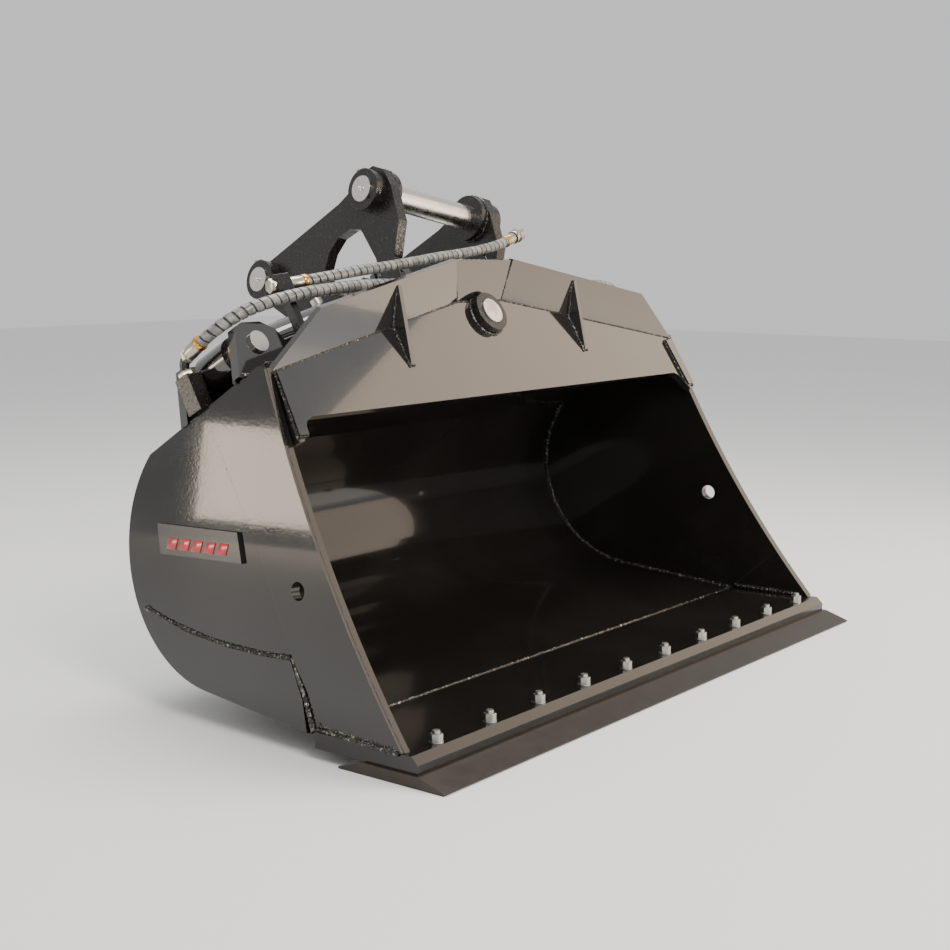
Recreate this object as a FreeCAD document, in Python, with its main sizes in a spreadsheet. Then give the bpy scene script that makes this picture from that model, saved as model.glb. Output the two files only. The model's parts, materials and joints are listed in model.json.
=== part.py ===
"""Hydraulic tilt bucket for an excavator: curved shell, cutting edges, tilting head with its ears,
two tilt cylinders and their hoses.  Millimetres, +Z up, +X to the right seen from the mouth, mouth
towards -Y.  The origin is on the ground under the middle of the whole bucket."""
import FreeCAD
import Part
import Sketcher
import math
import os
import re

Vector = FreeCAD.Vector
Rotation = FreeCAD.Rotation
Placement = FreeCAD.Placement

doc = FreeCAD.newDocument("tilt_bucket")
sheet = doc.addObject("Spreadsheet::Sheet", "Sizes")

DRIVING_SIZES = {
    # where the frames stand
    "ground_shift": -643.58,
    "lip_tip_y": 72,
    "lip_tip_z": 31,
    "mouth_lean": 32.03,
    "yoke_y": 574,
    "yoke_z": 882,
    "yoke_lean": 30,
    "rest_tilt": 11.5,
    # shell
    "lip_half": 900,
    "side_taper": 5.07,
    "side_skin": 16,
    "shell_skin": 16,
    "roll_n": 325.4,
    "roll_up": 622.3,
    "roll_radius": 311,
    "floor_slope": 37.3,
    "shell_top": 915,
    "floor_start": 227.7,
    "mouth_bow": 2900,
    "strip_width": 205,
    "cover_skin": 8,
    "side_hole_n": 132,
    "side_hole_up": 445,
    "side_hole_radius": 20,
    # edges and their bolts
    "edge_top": 60,
    "edge_rear": 346,
    "edge_front": 74,
    "edge_bevel": 17,
    "blade_half": 908,
    "blade_depth": 276,
    "blade_skin": 25,
    "blade_bevel": 66,
    "bolt_radius": 8,
    "bolt_row": 108,
    "bolt_reach": 800,
    "nut_flats": 24,
    # yoke: measured along the pivot axis and up from it
    "yoke_face": 22,
    "yoke_skin": 20,
    "fold_half": 90,
    "fold_up": 40,
    "fold_end_half": 801,
    "fold_end_up": -104,
    "yoke_foot": -214,
    "crest_skin": 14,
    "crest_rise": 103,
    "crest_bend": 38,
    "gusset_place": 362,
    "gusset_skin": 12,
    "boss_radius": 52,
    "rear_yoke_start": 300,
    "rear_yoke_skin": 25,
    "rear_boss_radius": 60,
    "pivot_pin_radius": 32.5,
    # cylinders
    "bracket_start": 95,
    "bracket_skin": 25,
    "bracket_place": 738,
    "cylinder_along": 210,
    "cylinder_pin_radius": 25,
    "barrel_eye_radius": 48,
    "barrel_radius": 50,
    "bore_radius": 40,
    "barrel_mouth": 430,
    "gland_end": 455,
    "rod_radius": 25,
    "rod_tail": 347,
    "rod_eye_radius": 44,
    "rod_pin_across": 139,
    "rod_pin_up": 130,
    "lug_play": 29,
    # head
    "head_start": 62,
    "sleeve_radius": 62,
    "sleeve_bore": 40,
    "base_up": 62,
    "base_skin": 22,
    "rod_notch_half": 30,
    "rod_notch_start": 105,
    "ear_outer": 200,
    "ear_skin": 30,
    "front_pin_along": 103,
    "front_pin_up": 368,
    "rear_pin_along": 535,
    "rear_pin_up": 350,
    "ear_pin_radius": 32.5,
    "front_eye_radius": 66,
    "rear_eye_radius": 58,
    "running_fit": 0.05,
    # hoses
    "hose_upper_radius": 13,
    "hose_lower_radius": 15,
    "elbow_tube": 11,
    "elbow_radius": 26,
    "elbow_stub": 5,
    "block_top": 4,
    "coupling_length": 45,
}

for row, (alias, number) in enumerate(DRIVING_SIZES.items(), start=1):
    sheet.set(f"A{row}", alias.replace("_", " "))
    sheet.set(f"B{row}", str(number))
    sheet.setAlias(f"B{row}", alias)
doc.recompute()

WORD = re.compile(r"\b[a-z][a-z_]*\b(?!\()")
PLANES = {"XY": ("XY_Plane", 1, False), "XZ": ("XZ_Plane", -1, True), "YZ": ("YZ_Plane", 1, False)}
NODES = {}


def bound(formula):
    """The formula with each size's name written as a reference to the sheet."""
    return WORD.sub(lambda match: "Sizes." + match.group(0), str(formula))


def number(formula):
    """The formula's present value."""
    return float(sheet.evalExpression(bound(formula)))


# Frames ------------------------------------------------------------------------------------------
GROUND = Placement(Vector(0, number("ground_shift"), 0), Rotation())
SHELL = GROUND * Placement(
    Vector(0, number("lip_tip_y"), number("lip_tip_z")), Rotation(Vector(1, 0, 0), -number("mouth_lean"))
)
YOKE = GROUND * Placement(
    Vector(0, number("yoke_y"), number("yoke_z")), Rotation(Vector(1, 0, 0), -number("yoke_lean"))
)
HEAD = YOKE * Placement(Vector(), Rotation(Vector(0, 1, 0), number("rest_tilt")))


def side_frame(side):
    """Frame of a side plate's outer face; the plate leans in towards the top."""
    return SHELL * Placement(
        Vector(side * number("lip_half"), 0, 0), Rotation(Vector(0, 1, 0), -side * number("side_taper"))
    )


def rod_pin_place(side):
    """Centre of the rod pin across and up in the yoke's frame, at the rest tilt."""
    local = HEAD.multVec(Vector(side * number("rod_pin_across"), 0, number("rod_pin_up")))
    return YOKE.inverse().multVec(local)


def cylinder_frame(side):
    """Frame of a cylinder: origin at its bracket pin, +X along the rod; also the length at rest."""
    pin = rod_pin_place(side)
    reach = number("bracket_place") + side * -pin.x
    angle = math.degrees(math.atan2(pin.z, reach))
    turn = Rotation(Vector(0, 0, 1), 180) if side > 0 else Rotation()
    base = Vector(side * number("bracket_place"), number("cylinder_along"), 0)
    frame = YOKE * Placement(base, turn) * Placement(Vector(), Rotation(Vector(0, 1, 0), -angle))
    return frame, math.hypot(reach, pin.z)


# Builders ----------------------------------------------------------------------------------------
def add_loop(sketch, loop):
    """Draw one closed loop and bind it.  A loop is ("circle", x, y, radius) or a list of corners
    (x, y) or (x, y, radius), where a radius rounds the edge that starts at that corner: positive
    bulges to the right of travel, negative to the left."""
    first = sketch.GeometryCount
    if loop[0] == "circle":
        x, y, radius = loop[1:]
        centre = Vector(number(x), number(y), 0)
        sketch.addGeometry(Part.Circle(centre, Vector(0, 0, 1), number(radius)))
        limits = [("DistanceX", (-1, 1, first, 3), x), ("DistanceY", (-1, 1, first, 3), y)]
        limits.append(("Radius", (first,), radius))
    else:
        spots = [Vector(number(corner[0]), number(corner[1]), 0) for corner in loop]
        limits = []
        starts = []
        for index, corner in enumerate(loop):
            here = spots[index]
            there = spots[(index + 1) % len(spots)]
            if len(corner) == 2:
                sketch.addGeometry(Part.LineSegment(here, there))
                starts.append((1, 2))
            else:
                starts.append(add_arc(sketch, here, there, number(corner[2])))
                limits.append(("Radius", (first + index,), f"abs({corner[2]})"))
        for index, corner in enumerate(loop):
            after = (index + 1) % len(loop)
            joined = (first + index, starts[index][1], first + after, starts[after][0])
            sketch.addConstraint(Sketcher.Constraint("Coincident", *joined))
            limits.append(("DistanceX", (-1, 1, first + index, starts[index][0]), corner[0]))
            limits.append(("DistanceY", (-1, 1, first + index, starts[index][0]), corner[1]))
    for kind, where, formula in limits:
        placed = sketch.addConstraint(Sketcher.Constraint(kind, *where, number(formula)))
        if re.search("[a-z]", str(formula)):
            sketch.setExpression(f"Constraints[{placed}]", bound(formula))


def add_arc(sketch, here, there, radius):
    """Add the minor arc between two corners; give its start and end point numbers."""
    middle = (here + there) * 0.5
    chord = there - here
    drop = math.sqrt(max(radius * radius - chord.Length ** 2 / 4, 0))
    across = Vector(-chord.y, chord.x, 0).normalize() * math.copysign(1, radius)
    centre = middle + across * drop
    outward = centre - across * abs(radius)
    sketch.addGeometry(Part.Arc(here, outward, there))
    return (1, 2) if radius > 0 else (2, 1)


def add_step(body, kind, plane, loops, start, depth):
    """Sketch the loops on a plane of the body at a start height and pad or pocket them."""
    role, sign, reverse = PLANES[plane]
    origin_plane = next(face for face in body.Origin.OriginFeatures if face.Role == role)
    sketch = body.newObject("Sketcher::SketchObject", "Sketch")
    sketch.AttachmentSupport = [(origin_plane, "")]
    sketch.MapMode = "FlatFace"
    sketch.setExpression("AttachmentOffset.Base.z", bound(f"{sign} * ({start})"))
    for loop in loops:
        add_loop(sketch, loop)
    doc.recompute()
    before = body.Shape.Volume if kind == "Pocket" else 0
    step = body.newObject("PartDesign::" + kind, kind)
    step.Profile = sketch
    step.setExpression("Length", bound(depth))
    step.Reversed = reverse if kind == "Pad" else not reverse
    doc.recompute()
    if kind == "Pocket" and body.Shape.Volume > before - 1:
        raise RuntimeError(f"{body.Label}: a pocket cut nothing")
    return step


def make_body(label, frame, steps):
    """A body from a list of (kind, plane, loops, start, depth), placed in a frame."""
    body = doc.addObject("PartDesign::Body", label)
    body.Label = label
    for step in steps:
        add_step(body, *step)
    body.Placement = frame
    return body


def keep(label, piece):
    """Hand a piece over as a node of its own."""
    piece.Label = label
    NODES[label] = piece
    return piece


def plate(label, frame, plane, loops, start, depth, *more):
    """A piece cut from plate, with further steps where given."""
    return keep(label, make_body(label, frame, [("Pad", plane, loops, start, depth), *more]))


def less(base, *tools):
    """The base less the tools."""
    for tool in tools:
        result = doc.addObject("Part::Cut", f"{base.Label}_cut")
        result.Base = base
        result.Tool = tool
        base = result
    doc.recompute()
    return base


def cut(label, base, *tools):
    """The base less the tools, as one node."""
    return keep(label, less(base, *tools))


def group(label, pieces):
    """Identical pieces as one node of separate solids."""
    bundle = doc.addObject("Part::Compound", label)
    bundle.Links = pieces
    doc.recompute()
    return keep(label, bundle)


def ring(x, y, outer, inner):
    """Loops of a washer or tube."""
    return [("circle", x, y, outer), ("circle", x, y, inner)]


def mirrored(loop, side):
    """A loop of corners with its first coordinate turned over for the other side."""
    if side > 0:
        return loop
    turned = [(f"-({corner[0]})", corner[1]) for corner in loop]
    for index, corner in enumerate(loop):
        if len(corner) == 3:
            turned[index] = (*turned[index], f"-({corner[2]})")
    return turned


# Shell -------------------------------------------------------------------------------------------
def shell_profile():
    """Corners of the shell's outer outline in the mouth's frame: floor, roll and flat top."""
    centre_n = number("roll_n")
    centre_up = number("roll_up")
    radius = number("roll_radius")
    slope = math.radians(number("floor_slope"))
    tangent_n = centre_n + radius * math.sin(slope)
    tangent_up = centre_up - radius * math.cos(slope)
    floor_n = number("floor_start")
    floor_up = tangent_up - (tangent_n - floor_n) * math.tan(slope)
    top = number("shell_top")
    roll_end = centre_n + math.sqrt(radius ** 2 - (top - centre_up) ** 2)
    return floor_n, floor_up, tangent_n, tangent_up, roll_end, top


FLOOR_N, FLOOR_UP, TANGENT_N, TANGENT_UP, ROLL_END, SHELL_TOP = shell_profile()


def roll_corners(inset):
    """Outline corners of the floor and roll, moved in by the inset; the roll is drawn as two arcs."""
    radius = number("roll_radius") - inset
    slope = math.radians(number("floor_slope"))
    centre_n = number("roll_n")
    centre_up = number("roll_up")
    top = SHELL_TOP - inset
    floor = (FLOOR_N - inset * math.sin(slope), FLOOR_UP + inset * math.cos(slope))
    tangent = (centre_n + radius * math.sin(slope), centre_up - radius * math.cos(slope), radius)
    rear = (centre_n + radius, centre_up, radius)
    end = (centre_n + math.sqrt(radius ** 2 - (top - centre_up) ** 2), top)
    return [floor, tangent, rear, end]


def make_shell():
    """The curved sheet between the side plates, its ends cut to the side plates' taper."""
    skin = number("shell_skin")
    outer = roll_corners(0)
    floor, tangent, rear, end = roll_corners(skin)
    front = 20
    loop = [*outer, (front, SHELL_TOP), (front, SHELL_TOP - skin), (*end, -rear[2])]
    loop += [(*rear[:2], -tangent[2]), tangent[:2], floor]
    half = number("lip_half") - number("side_skin") - 1
    lean = math.tan(math.radians(number("side_taper")))
    low = -50
    high = 1000
    ends = []
    for side in (-1, 1):
        near = [(half - lean * low) * side, (half - lean * high) * side]
        far = 1000 * side
        ends.append([(near[0], low), (far, low), (far, high), (near[1], high)])
    ends_cut = ("Pocket", "XZ", ends, -50, 800)
    body = make_body("shell_sheet", SHELL, [("Pad", "YZ", [loop], -950, 1900), ends_cut])
    return keep("shell_wrapper", body)


def side_outline():
    """Side plate outline: bowed mouth edge, flat top, roll and floor."""
    outer = roll_corners(0)
    mouth = [(16, 46), (215, 173), (FLOOR_N, FLOOR_UP)]
    top = [(24, SHELL_TOP), (0, 898, "-mouth_bow")]
    return [*mouth, outer[1], outer[2], outer[3], *top]


def make_sides():
    """Side plates with their front strips, lower wear plates and name-free badge plates."""
    hole = ("circle", "side_hole_n", "side_hole_up", "side_hole_radius")
    strip = [(17, 47), (196, 161), ("strip_width + 8", 330), ("strip_width - 3", 526)]
    strip += [("strip_width", 719), ("strip_width + 5", 906), (22, 906), (1, 896, "-mouth_bow")]
    slope = math.radians(number("floor_slope"))
    outer = roll_corners(0)
    wear_low = (FLOOR_N + 20, FLOOR_UP + 20 * math.tan(slope) + 4)
    wear = [wear_low, (outer[1][0] - 3, outer[1][1] + 3, 308), (608, 560), (600, 610), (500, 510), (393, 430)]
    wear += [(300, 371), (222, 328), (228, 240)]
    badge = [(262, 567), (497, 700), (474, 765), (243, 632)]
    badges = []
    strips = []
    for side, name in ((-1, "left"), (1, "right")):
        frame = side_frame(side)
        inward = 0 if side < 0 else "-side_skin"
        outward = "-cover_skin" if side < 0 else 0
        plate(f"side_plate_{name}", frame, "YZ", [side_outline(), hole], inward, "side_skin")
        strips.append(make_body("strip", frame, [("Pad", "YZ", [strip, hole], outward, "cover_skin")]))
        plate(f"side_wear_plate_{name}", frame, "YZ", [wear], outward, "cover_skin")
        badges.append(make_body("badge", frame, [("Pad", "YZ", [badge], outward, "cover_skin")]))
    group("badge_plates", badges)
    group("front_strips", strips)


# Edges -------------------------------------------------------------------------------------------
def bolt_spots():
    """Places of the edge bolts along the lip."""
    reach = number("bolt_reach")
    count = 10
    return [-reach + 2 * reach * index / (count - 1) for index in range(count)]


def make_edges():
    """Base edge, bolt-on blade and the row of bolts with nuts."""
    base = [("edge_front", "blade_skin"), ("edge_rear", "blade_skin"), ("edge_rear", "edge_top")]
    base += [("edge_front + edge_bevel", "edge_top"), ("edge_front", "edge_top - edge_bevel + 1")]
    blade = [(3, 0), ("blade_depth - 3", 0), ("blade_depth", 4), ("blade_depth - blade_bevel", "blade_skin")]
    blade += [("blade_bevel", "blade_skin"), (0, 4)]
    holes = [("circle", spot, "bolt_row", "bolt_radius + 0.5") for spot in bolt_spots()]
    heads = [("circle", spot, "bolt_row", "bolt_radius * 1.8 + 0.5") for spot in bolt_spots()]
    base_holes = ("Pocket", "XY", holes, "-1", 100)
    blade_holes = ("Pocket", "XY", holes, "-1", 50)
    blade_heads = ("Pocket", "XY", heads, "-1", 12)
    base_pad = ("Pad", "YZ", [base], "-lip_half", "2 * lip_half")
    base_body = make_body("base_sheet", GROUND, [base_pad, base_holes])
    cut("base_edge", base_body, NODES["side_plate_left"], NODES["side_plate_right"])
    plate("bolt_on_blade", GROUND, "YZ", [blade], "-blade_half", "2 * blade_half", blade_holes, blade_heads)
    bolts = []
    nuts = []
    across = number("nut_flats") / math.sqrt(3)
    for spot in bolt_spots():
        corners = []
        for step in range(6):
            angle = math.radians(60 * step)
            corners.append((spot + across * math.cos(angle), number("bolt_row") + across * math.sin(angle)))
        shank = [("circle", spot, "bolt_row", "bolt_radius")]
        head = [("circle", spot, "bolt_row", "bolt_radius * 1.8")]
        bolts.append(make_body("bolt", GROUND, [("Pad", "XY", head, 1, 9.5), ("Pad", "XY", shank, 10, 76)]))
        nut_loops = [corners, ("circle", spot, "bolt_row", "bolt_radius + 0.2")]
        nuts.append(make_body("nut", GROUND, [("Pad", "XY", nut_loops, "edge_top + 3", 16)]))
    group("edge_bolts", bolts)
    group("edge_nuts", nuts)
    washers = []
    for spot in bolt_spots():
        loops = ring(spot, "bolt_row", 15, "bolt_radius + 0.5")
        washers.append(make_body("washer", GROUND, [("Pad", "XY", loops, "edge_top", 3)]))
    group("edge_washers", washers)


# Yoke --------------------------------------------------------------------------------------------
def make_yoke():
    """Front plate, folded crest, gussets, bosses and the rear plate that carries the cylinders."""
    half = "fold_end_half"
    foot = "yoke_foot"
    low = -268
    front = [("-fold_half", "fold_up"), (f"-{half}", "fold_end_up"), (f"-{half} - 15", low)]
    front += [(f"-{half}", low), ("-768", f"{foot} - 8"), ("-750", foot), ("750", foot)]
    front += [("768", f"{foot} - 8")]
    front += [(half, low), (f"{half} + 15", low), (half, "fold_end_up"), ("fold_half", "fold_up")]
    boss_room = make_body("boss_room", YOKE, [("Pad", "XZ", [("circle", 0, 0, "boss_radius")], -20, 90)])
    front_body = make_body("front_sheet", YOKE, [("Pad", "XZ", [front], "yoke_face", "yoke_skin")])
    cut("yoke_front_plate", front_body, boss_room)
    boss = ring(0, 0, "boss_radius", "pivot_pin_radius + running_fit")
    plate("pivot_front_boss", YOKE, "XZ", boss, 0, 56)
    make_crest(boss_room)
    make_rear_yoke()
    pin = [("circle", 0, 0, "pivot_pin_radius")]
    plate("pivot_pin", YOKE, "XZ", pin, -4, "rear_yoke_start + rear_yoke_skin + 22")
    collar = ring(0, 0, "rear_boss_radius - 4", "pivot_pin_radius + running_fit")
    plate("pivot_pin_collar", YOKE, "XZ", collar, "rear_yoke_start + rear_yoke_skin", 16)


def make_crest(boss_room):
    """Three facets folded forward from the front plate's top edge, and the two gussets."""
    bend = math.radians(number("crest_bend"))
    face = number("yoke_face")
    rise = number("crest_rise")
    forward = Vector(0, -math.sin(bend), math.cos(bend))
    inner_low = Vector(number("fold_half"), face, number("fold_up"))
    outer_low = Vector(number("fold_end_half") + 16, face, number("fold_end_up") - 3)
    top_middle = inner_low + forward * rise + Vector(28, 0, 3)
    shoulder = Vector(657, face, -72) + forward * rise
    skin = number("crest_skin")
    corners = [inner_low, outer_low, shoulder, top_middle]
    for side, name in ((-1, "left"), (1, "right")):
        along = Vector(side * (outer_low.x - inner_low.x), 0, outer_low.z - inner_low.z).normalize()
        rise_way = (forward - along * forward.dot(along)).normalize()
        normal = along.cross(rise_way) if side > 0 else rise_way.cross(along)
        turn = Rotation(along, rise_way, along.cross(rise_way), "ZXY")
        base = Vector(side * inner_low.x, inner_low.y, inner_low.z)
        loop = []
        for corner in corners:
            offset = Vector(side * corner.x, corner.y, corner.z) - base
            loop.append((offset.dot(along), offset.dot(rise_way)))
        frame = YOKE * Placement(base, turn)
        start = "-crest_skin" if normal.dot(along.cross(rise_way)) > 0 else 0
        sheet_body = make_body("crest_sheet", frame, [("Pad", "XY", [loop], start, skin)])
        cut(f"crest_{name}", sheet_body, NODES[f"side_plate_{name}"])
    middle_half = top_middle.x
    middle = [("-fold_half", 0), ("fold_half", 0), (middle_half, rise), (-middle_half, rise)]
    frame = YOKE * Placement(Vector(0, face, inner_low.z), Rotation(Vector(1, 0, 0), number("crest_bend")))
    body = make_body("crest_sheet", frame, [("Pad", "XZ", [middle], 0, "crest_skin")])
    cut("crest_middle", body, boss_room, NODES["crest_left"], NODES["crest_right"])
    fold = number("fold_up") - (number("gusset_place") - number("fold_half")) * 0.2025
    top = (face - 92 * math.sin(bend), fold + 92 * math.cos(bend))
    gusset = [(face, fold), (face, fold - 104), (face - 5, fold - 104), (top[0] - 4, top[1]), top]
    gussets = []
    for side, name in ((-1, "left"), (1, "right")):
        start = f"{side} * gusset_place - gusset_skin / 2"
        body = make_body("gusset", YOKE, [("Pad", "YZ", [gusset], start, "gusset_skin")])
        gussets.append(less(body, NODES[f"crest_{name}"]))
    group("crest_gussets", gussets)


def make_rear_yoke():
    """Rear yoke plate with its pivot boss, and the front brackets of the cylinders."""
    lobe_side = "0.93 * rear_boss_radius"
    lobe_up = "0.3676 * rear_boss_radius"
    wing = [(230, -66), (330, -64), (640, 20), (690, 48), (776, 44), (824, -90)]
    rim = [(f"-{lobe_side}", lobe_up, "-rear_boss_radius"), (lobe_side, lobe_up)]
    left_wing = [(f"-{x}", up) for x, up in wing]
    loop = [*left_wing[::-1], (f"-{lobe_side}", -30), *rim, (lobe_side, -30), *wing]
    bracket_pin = "cylinder_pin_radius + running_fit"
    bores = [("circle", "bracket_place", 0, bracket_pin), ("circle", "-bracket_place", 0, bracket_pin)]
    pivot = ("circle", 0, 0, "pivot_pin_radius + running_fit")
    body = make_body("rear_sheet", YOKE, [("Pad", "XZ", [loop], "rear_yoke_start", "rear_yoke_skin")])
    for bore in (pivot, *bores):
        add_step(body, "Pocket", "XZ", [bore], "rear_yoke_start - 5", "rear_yoke_skin + 10")
    cut("yoke_rear_plate", body, NODES["shell_wrapper"], NODES["side_plate_left"], NODES["side_plate_right"])
    for side, name in ((-1, "left"), (1, "right")):
        lug = [(830, -76), (786, 40), (762, 50), (706, 50), (668, 30), (610, -76)]
        hole = ("circle", f"{side} * bracket_place", 0, bracket_pin)
        loops = [mirrored(lug, side), hole]
        plate(f"cylinder_bracket_{name}", YOKE, "XZ", loops, "bracket_start", "bracket_skin")
        pin = [("circle", f"{side} * bracket_place", 0, "cylinder_pin_radius")]
        pin_length = "rear_yoke_start + rear_yoke_skin - bracket_start + 16"
        plate(f"cylinder_pin_{name}", YOKE, "XZ", pin, "bracket_start - 8", pin_length)


# Cylinders ---------------------------------------------------------------------------------------
def make_cylinder(side, name):
    """Barrel, end cap, gland, piston, rod, rod eye and rod pin of one tilt cylinder."""
    frame, reach = cylinder_frame(side)
    eye = ring(0, 0, "barrel_eye_radius", 31)
    plate(f"barrel_eye_{name}", frame, "XZ", eye, -48, 96)
    bush = ring(0, 0, 31, "cylinder_pin_radius + running_fit")
    plate(f"barrel_bush_{name}", frame, "XZ", bush, -50, 100)
    cap = make_body("cap", frame, [("Pad", "YZ", [("circle", 0, 0, "barrel_radius")], 20, 50)])
    eye_loop = [("circle", 0, 0, "barrel_eye_radius")]
    eye_room = make_body("eye_room", frame, [("Pad", "XZ", eye_loop, -60, 120)])
    cut(f"barrel_cap_{name}", cap, eye_room)
    tube = ring(0, 0, "barrel_radius", "bore_radius")
    plate(f"barrel_tube_{name}", frame, "YZ", tube, 70, "barrel_mouth - 70")
    gland = ring(0, 0, "barrel_radius - 3", "rod_radius + running_fit")
    plate(f"gland_{name}", frame, "YZ", gland, "barrel_mouth", "gland_end - barrel_mouth")
    tail = f"{reach} - rod_tail"
    piston = ring(0, 0, "bore_radius - running_fit", "rod_radius - 5")
    plate(f"piston_{name}", frame, "YZ", piston, f"{tail} - 30", 50)
    neck = ("Pad", "YZ", [("circle", 0, 0, "rod_radius - 5")], f"{tail} - 30", 51)
    stem = "rod_tail - rod_eye_radius - 17"
    plate(f"rod_{name}", frame, "YZ", [("circle", 0, 0, "rod_radius")], f"{tail} + 20", stem, neck)
    eye_frame = frame * Placement(Vector(reach, 0, 0), Rotation())
    rod_eye = ring(0, 0, "rod_eye_radius", "cylinder_pin_radius + running_fit")
    eye_body = make_body("rod_eye", eye_frame, [("Pad", "XZ", rod_eye, -20, 40)])
    cut(f"rod_eye_{name}", eye_body, NODES[f"rod_{name}"])
    pin = [("circle", 0, 0, "cylinder_pin_radius")]
    plate(f"rod_pin_{name}", eye_frame, "XZ", pin, -46, 92)
    ports = [("Pad", "XY", [("circle", place, 0, 14)], "barrel_radius - 3", 18) for place in (100, 400)]
    port_body = make_body("port", frame, ports)
    cut(f"barrel_ports_{name}", port_body, NODES[f"barrel_tube_{name}"])


# Head --------------------------------------------------------------------------------------------
def make_head():
    """Pivot sleeve with bushes, base plate, webs, rod lugs, ears, their eyes and pins."""
    start = "head_start"
    length = 222
    sleeve = ring(0, 0, "sleeve_radius", "sleeve_bore")
    plate("pivot_sleeve", HEAD, "XZ", sleeve, start, length)
    bush = ring(0, 0, "sleeve_bore", "pivot_pin_radius + running_fit")
    bushes = [make_body("bush", HEAD, [("Pad", "XZ", bush, start, 60)])]
    bushes.append(make_body("bush", HEAD, [("Pad", "XZ", bush, f"{start} + {length} - 60", 60)]))
    group("pivot_bushes", bushes)
    edge = "ear_outer + 12"
    low = "cylinder_along - rod_notch_half"
    high = "cylinder_along + rod_notch_half"
    base = [(f"-({edge})", start), (edge, start), (edge, low), ("rod_notch_start", low)]
    base += [("rod_notch_start", high), (edge, high), (edge, 470), (150, 500), (-150, 500)]
    base += [(f"-({edge})", 470), (f"-({edge})", high), ("-rod_notch_start", high)]
    base += [("-rod_notch_start", low), (f"-({edge})", low)]
    plate("head_base_plate", HEAD, "XY", [base], "base_up", "base_skin")
    webs = []
    sleeve_loop = [("circle", 0, 0, "sleeve_radius")]
    sleeve_room = make_body("sleeve_room", HEAD, [("Pad", "XZ", sleeve_loop, 60, 230)])
    for along in (82, 172, 262):
        for side in (-1, 1):
            web = mirrored([(20, "base_up - 0.2"), (30, 20), (66, 0), (150, "base_up - 0.2")], side)
            body = make_body("web", HEAD, [("Pad", "XZ", [web], along, 12)])
            webs.append(less(body, sleeve_room))
    group("sleeve_webs", webs)
    top = "base_up + base_skin"
    cheeks = []
    eyes = []
    for side, name in ((-1, "left"), (1, "right")):
        eyes += make_ear(side, name, top)
        play = "(cylinder_pin_radius + lug_play)"
        wide = f"rod_pin_across + {play}"
        narrow = f"rod_pin_across - {play}"
        turn = f"-{play}"
        lug = [(f"{narrow} - 14", top), (narrow, top), (narrow, "rod_pin_up", turn)]
        lug += [("rod_pin_across", f"rod_pin_up + {play}", turn), (wide, "rod_pin_up"), (wide, top)]
        lug += [(f"{wide} + 9", top), (f"{wide} + 9", "rod_pin_up + 36"), (f"{wide} - 26", "rod_pin_up + 70")]
        lug += [(f"{narrow} + 22", "rod_pin_up + 70"), (f"{narrow} - 14", "rod_pin_up + 40")]
        loops = [mirrored(lug, side)]
        cheeks += [make_body("lug", HEAD, [("Pad", "XZ", loops, place, 16)]) for place in (168, 236)]
    group("rod_lugs", cheeks)
    group("ear_inner_eyes", eyes)
    collars = []
    pin_spots = (("dipper", "front_pin_along", "front_pin_up"), ("link", "rear_pin_along", "rear_pin_up"))
    for name, along, up in pin_spots:
        pin = [("circle", along, up, "ear_pin_radius")]
        plate(f"{name}_pin", HEAD, "YZ", pin, "-ear_outer - 38", "2 * ear_outer + 76")
        for place in ("-ear_outer - 32", "ear_outer"):
            loops = ring(along, up, "ear_pin_radius + 20", "ear_pin_radius + running_fit")
            collars.append(make_body("collar", HEAD, [("Pad", "YZ", loops, place, 32)]))
    group("ear_pin_collars", collars)
    bolts = []
    for _, along, up in pin_spots:
        for place in ("-ear_outer - 18", "ear_outer + 18"):
            loops = [("circle", place, along, 7)]
            bolt = make_body("bolt", HEAD, [("Pad", "XY", loops, f"{up} + ear_pin_radius + 20", 9)])
            bolts.append(bolt)
    group("collar_bolts", bolts)


def make_ear(side, name, top):
    """One ear: front leg, arm and rear leg round the arch, with a thicker inner eye at each pin."""
    near = "ear_outer - ear_skin" if side > 0 else "-ear_outer"
    outline = [(62, top), (92, 170), (44, 250), (38, 350), (46, 400), (76, 428), (120, 432), (160, 412)]
    outline += [(220, 402), (500, 398), (560, 402), (590, 372), (592, 330), (560, 298), (478, 190)]
    outline += [(462, top), (330, top), (330, 262), (296, 300), (252, 320), (206, 318), (172, 296)]
    outline += [(150, 200), (150, top)]
    hole_front = ("circle", "front_pin_along", "front_pin_up", "ear_pin_radius + running_fit")
    hole_rear = ("circle", "rear_pin_along", "rear_pin_up", "ear_pin_radius + running_fit")
    plate(f"ear_{name}", HEAD, "YZ", [outline, hole_front, hole_rear], near, "ear_skin")
    inner = "ear_outer - ear_skin - 20" if side > 0 else "-ear_outer + ear_skin"
    rings = []
    for along, up, radius in (
        ("front_pin_along", "front_pin_up", "front_eye_radius - 6"),
        ("rear_pin_along", "rear_pin_up", "rear_eye_radius - 6"),
    ):
        loops = ring(along, up, radius, "ear_pin_radius + running_fit")
        rings.append(make_body("eye", HEAD, [("Pad", "YZ", loops, inner, 20)]))
    return rings


# Hoses -------------------------------------------------------------------------------------------
HOSE_UPPER = [
    (-598, 68, 127), (-551, 56, 127), (-480, 42, 130), (-400, 31, 136), (-310, 24, 141), (-200, 20, 151),
    (-85, 22, 166), (30, 20, 176), (134, 19, 190), (205, 20, 205), (262, 21, 222),
]
HOSE_LOWER = [
    (-811, 228, 44), (-811, 178, 50), (-790, 126, 61), (-748, 83, 72), (-684, 55, 79), (-604, 38, 86),
    (-515, 34, 92), (-430, 32, 97), (-345, 27, 96), (-250, 22, 92), (-140, 22, 104), (-40, 24, 118),
    (70, 25, 118), (170, 24, 100), (280, 24, 86), (390, 28, 80), (500, 33, 79), (604, 38, 84),
    (684, 55, 79), (748, 83, 72), (790, 126, 61), (811, 178, 50), (811, 228, 44),
]


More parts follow.
